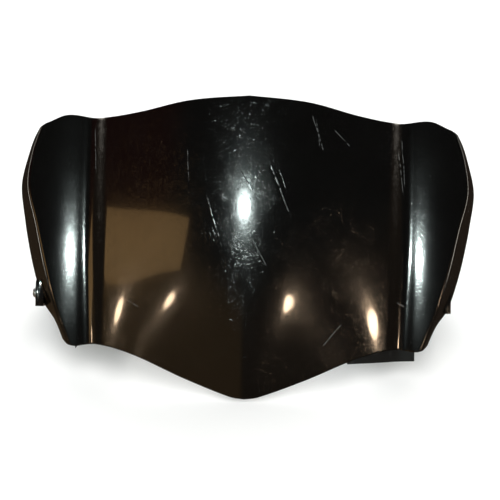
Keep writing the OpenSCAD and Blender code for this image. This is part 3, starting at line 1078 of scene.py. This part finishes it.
ear_ring = ring_outline(-SKIN - GRIP, GRIP, EAR_COLLAR_R, EAR_BORE)
washer_ring = ring_outline(GRIP, GRIP + WASHER_H, WASHER_R, EAR_BORE)
screw_thread = thread_tree(zinc)
for side, sign in SIDES.items():
    seat = Vector((sign * (flange_out + EAR_STEP[side]) * MM, ear_centre[side].y,
                   ear_centre[side].z))
    at = Matrix.Translation(seat) @ OUTWARD[side]
    join_frame(turned(ear_lips, at, rubber, "soft_grommet_" + side), "black_rubber",
               "ear_grommet_" + side)
    join_frame(turned(ear_ring, at, alloy, "turned_collar_" + side), "collar_alloy",
               "ear_collar_" + side)
    join_frame(turned(washer_ring, at, zinc, "plated_washer_" + side), "plated_steel",
               "ear_washer_" + side)
    head_at = at @ Matrix.Translation((0, 0, (GRIP + WASHER_H) * MM))
    head = turned(dome, head_at, zinc, "head", socket_below=SOCKET_R + SOCKET_EDGE)
    shank = baked("shank", screw_thread, {"Length": shank_length * MM})
    shank.data.transform(head_at)
    join_frame(joined("threaded_screw_" + side, head, shank), "plated_steel", "ear_screw_" + side)

# %% [markdown]
# ## The peg's rubber
#
# The locating peg wears a moulded rubber with a wide foot, a waist that snaps into the cowl and a
# tapered nose.  It is one more turned outline, read from the foot to the nose.

# %% Rubber on the peg
peg_low, peg_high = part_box("peg_grommet")
NECK_R = 3.2
peg_at = Matrix.Translation(Vector((0, peg_low.y, (peg_low.z + peg_high.z) / 2))) @ (
    Matrix.Rotation(-math.pi / 2, 4, "X"))
RUBBER_H = (peg_high.y - peg_low.y) / MM
FOOT_R = NECK_R + 6
WAIST_R = NECK_R + 3.5
SHOULDER_R = NECK_R + 5.5
NOSE_R = NECK_R + 4
peg_rubber = rounded_outline([
    (NECK_R, 0), (FOOT_R, 0), (FOOT_R, 2.5), (WAIST_R, 3.5), (WAIST_R, 6),
    (SHOULDER_R, 7), (NOSE_R, RUBBER_H), (NECK_R, RUBBER_H)], 0.5)
join_frame(turned(peg_rubber, peg_at, rubber, "soft_peg_rubber"), "black_rubber", "peg_grommet")

# %% [markdown]
# ## Stage, lamps and camera
#
# A black, glossy thing is lit by what it reflects.  Round lamps far away give round or stretched
# highlights, tall lamps at both sides draw its rims, and a dim warm card gives the brown patch.
# The world is bright for everything except mirror-like rays, so that the floor is pale while the
# skin stays dark.  The floor itself is left out of the reflections for the same reason.

# %% Stage
FACE_MIDDLE_S = 147
FLOOR_DROP = 2.0
FLOOR_HALF = 4.0
middle = placed(0, 0, FACE_MIDDLE_S)


def stage_material():
    material, tree, shader = new_material("paper", Roughness=0.9)
    shade = noise(tree, object_at(tree), 6.0, detail=2.0)
    feed(shader, Base_Color=blend(tree, (0.93, 0.93, 0.93, 1), (0.95, 0.95, 0.95, 1), shade))
    return material


floor_mesh = bpy.data.meshes.new("floor")
floor_mesh.from_pydata([(-FLOOR_HALF, -FLOOR_HALF, 0), (FLOOR_HALF, -FLOOR_HALF, 0),
                        (FLOOR_HALF, FLOOR_HALF, 0), (-FLOOR_HALF, FLOOR_HALF, 0)],
                       [], [(0, 1, 2, 3)])
floor_mesh.materials.append(stage_material())
floor = make_object("floor", floor_mesh)
floor.location.z = cad_box[0][2] - FLOOR_DROP * MM
floor.visible_glossy = False

# %% [markdown]
# ### World
#
# The world does two jobs.  Everything but a mirror-like ray sees plain white, which lights the
# floor.  Mirror-like rays see a dim room: brown low on the left, nearly black above, brighter
# underneath.

# %% World
world = bpy.data.worlds.new("studio")
bpy.context.scene.world = world
world.use_nodes = True
sky = world.node_tree
background = sky.nodes["Background"]
way_out = out(sky.nodes.new("ShaderNodeTexCoord"), "Generated")
direction = add(sky, "ShaderNodeSeparateXYZ", Vector=way_out)
low_down = 1 - ease(0.24, 0.42, out(direction, "Z"))
to_left = (1 - ease(-0.16, -0.02, out(direction, "X"))) * ease(-0.94, -0.78, out(direction, "X"))
far_left = 1 - ease(-0.7, -0.5, out(direction, "X"))
in_front = 1 - ease(0.15, 0.5, out(direction, "Y"))
ground = blend(sky, (0.045, 0.033, 0.023, 1), (0.12, 0.076, 0.036, 1), to_left)
above = blend(sky, (0.016, 0.016, 0.015, 1), (0.035, 0.009, 0.007, 1), far_left)
ahead = blend(sky, above, ground, low_down)
around = blend(sky, (0.05, 0.035, 0.025, 1), ahead, in_front)
steep_down = 1 - ease(-0.8, -0.5, out(direction, "Z"))
seen_in_gloss = blend(sky, around, (0.24, 0.19, 0.14, 1), steep_down)
glossy = out(sky.nodes.new("ShaderNodeLightPath"), "Is Glossy Ray")
plug(sky, background.inputs["Color"], blend(sky, (1.0, 1.0, 1.0, 1), seen_in_gloss, glossy))
print("world with", len(sky.nodes), "nodes")

# %% [markdown]
# ### Lamps
#
# Each lamp stands ten metres off and is set by its direction and by how wide and tall it looks, so
# its reflection can be steered over the skin without changing its size.

# %% Lamps
FAR = 10.0
COOL = (0.85, 1.0, 0.97)
WARM = (1.0, 0.72, 0.48)
SOFT_WARM = (1.0, 0.93, 0.82)
BROWN = (1.0, 0.60, 0.24)


def lamp(name, azimuth, elevation, wide, tall, radiance, colour, shape="ELLIPSE", roll=0.0):
    """Lamp at an azimuth from the front and an elevation; its width and height are angles too."""
    light = bpy.data.lights.new(name, "AREA")
    light.shape = shape
    light.size = 2 * FAR * math.tan(math.radians(wide / 2))
    light.size_y = 2 * FAR * math.tan(math.radians(tall / 2))
    area = light.size * light.size_y * (math.pi / 4 if shape == "ELLIPSE" else 1)
    light.energy = radiance * math.pi * area
    light.color = colour
    holder = bpy.data.objects.new(name, light)
    bpy.context.scene.collection.objects.link(holder)
    a, e = math.radians(azimuth), math.radians(elevation)
    way = Vector((math.sin(a) * math.cos(e), -math.cos(a) * math.cos(e), math.sin(e)))
    turn = (-way).to_track_quat("-Z", "Y").to_matrix() @ Matrix.Rotation(math.radians(roll), 3, "Z")
    holder.matrix_world = Matrix.Translation(middle + way * FAR) @ turn.to_4x4()
    holder.visible_camera = False


lamp("key", -2.0, 34.9, 5.2, 2.4, 240, COOL)
lamp("warm_outer_left", -47.4, 13.0, 2.6, 2.2, 26, WARM)
lamp("warm_inner_left", -31.3, 13.9, 1.8, 1.8, 26, WARM)
lamp("warm_inner_right", 24.5, 14.3, 1.8, 2.6, 36, WARM)
lamp("warm_outer_right", 46.7, 12.4, 5.0, 2.2, 34, WARM)
lamp("brown_card", -48, 20.5, 30, 10, 0.95, BROWN, shape="RECTANGLE", roll=12)
lamp("rim_left", -98, 8, 7, 56, 3.2, SOFT_WARM, shape="RECTANGLE")
lamp("rim_right", 98, 8, 7, 56, 3.2, SOFT_WARM, shape="RECTANGLE")
lamp("back_left", -158, 24, 34, 22, 3.0, (0.95, 0.98, 1.0), shape="RECTANGLE")
lamp("back_right", 160, 38, 26, 30, 3.2, (1.0, 0.97, 0.92), shape="RECTANGLE")

# %% [markdown]
# ## Camera
#
# The screen is looked at square to its leaning face.  A long lens from a metre and a half away
# keeps both wings nearly as tall as the middle, and a small roll follows the way the piece is held.

# %% Camera
CAMERA_FAR = 1.51
CAMERA_ROLL = math.radians(1.1)
camera_data = bpy.data.cameras.new("camera")
camera = bpy.data.objects.new("camera", camera_data)
bpy.context.scene.collection.objects.link(camera)
bpy.context.scene.camera = camera
camera_data.sensor_width = 36.0
camera_data.lens = 111.6
camera.location = middle + FACE_OUT * CAMERA_FAR
straight = (-FACE_OUT).to_track_quat("-Z", "Y").to_matrix()
camera.rotation_euler = (straight @ Matrix.Rotation(CAMERA_ROLL, 3, "Z")).to_euler()
camera_data.shift_x = 0.0066
camera_data.shift_y = 0.0018
bpy.context.scene.view_settings.view_transform = "Standard"
print("camera with a lens of", camera_data.lens, "mm")
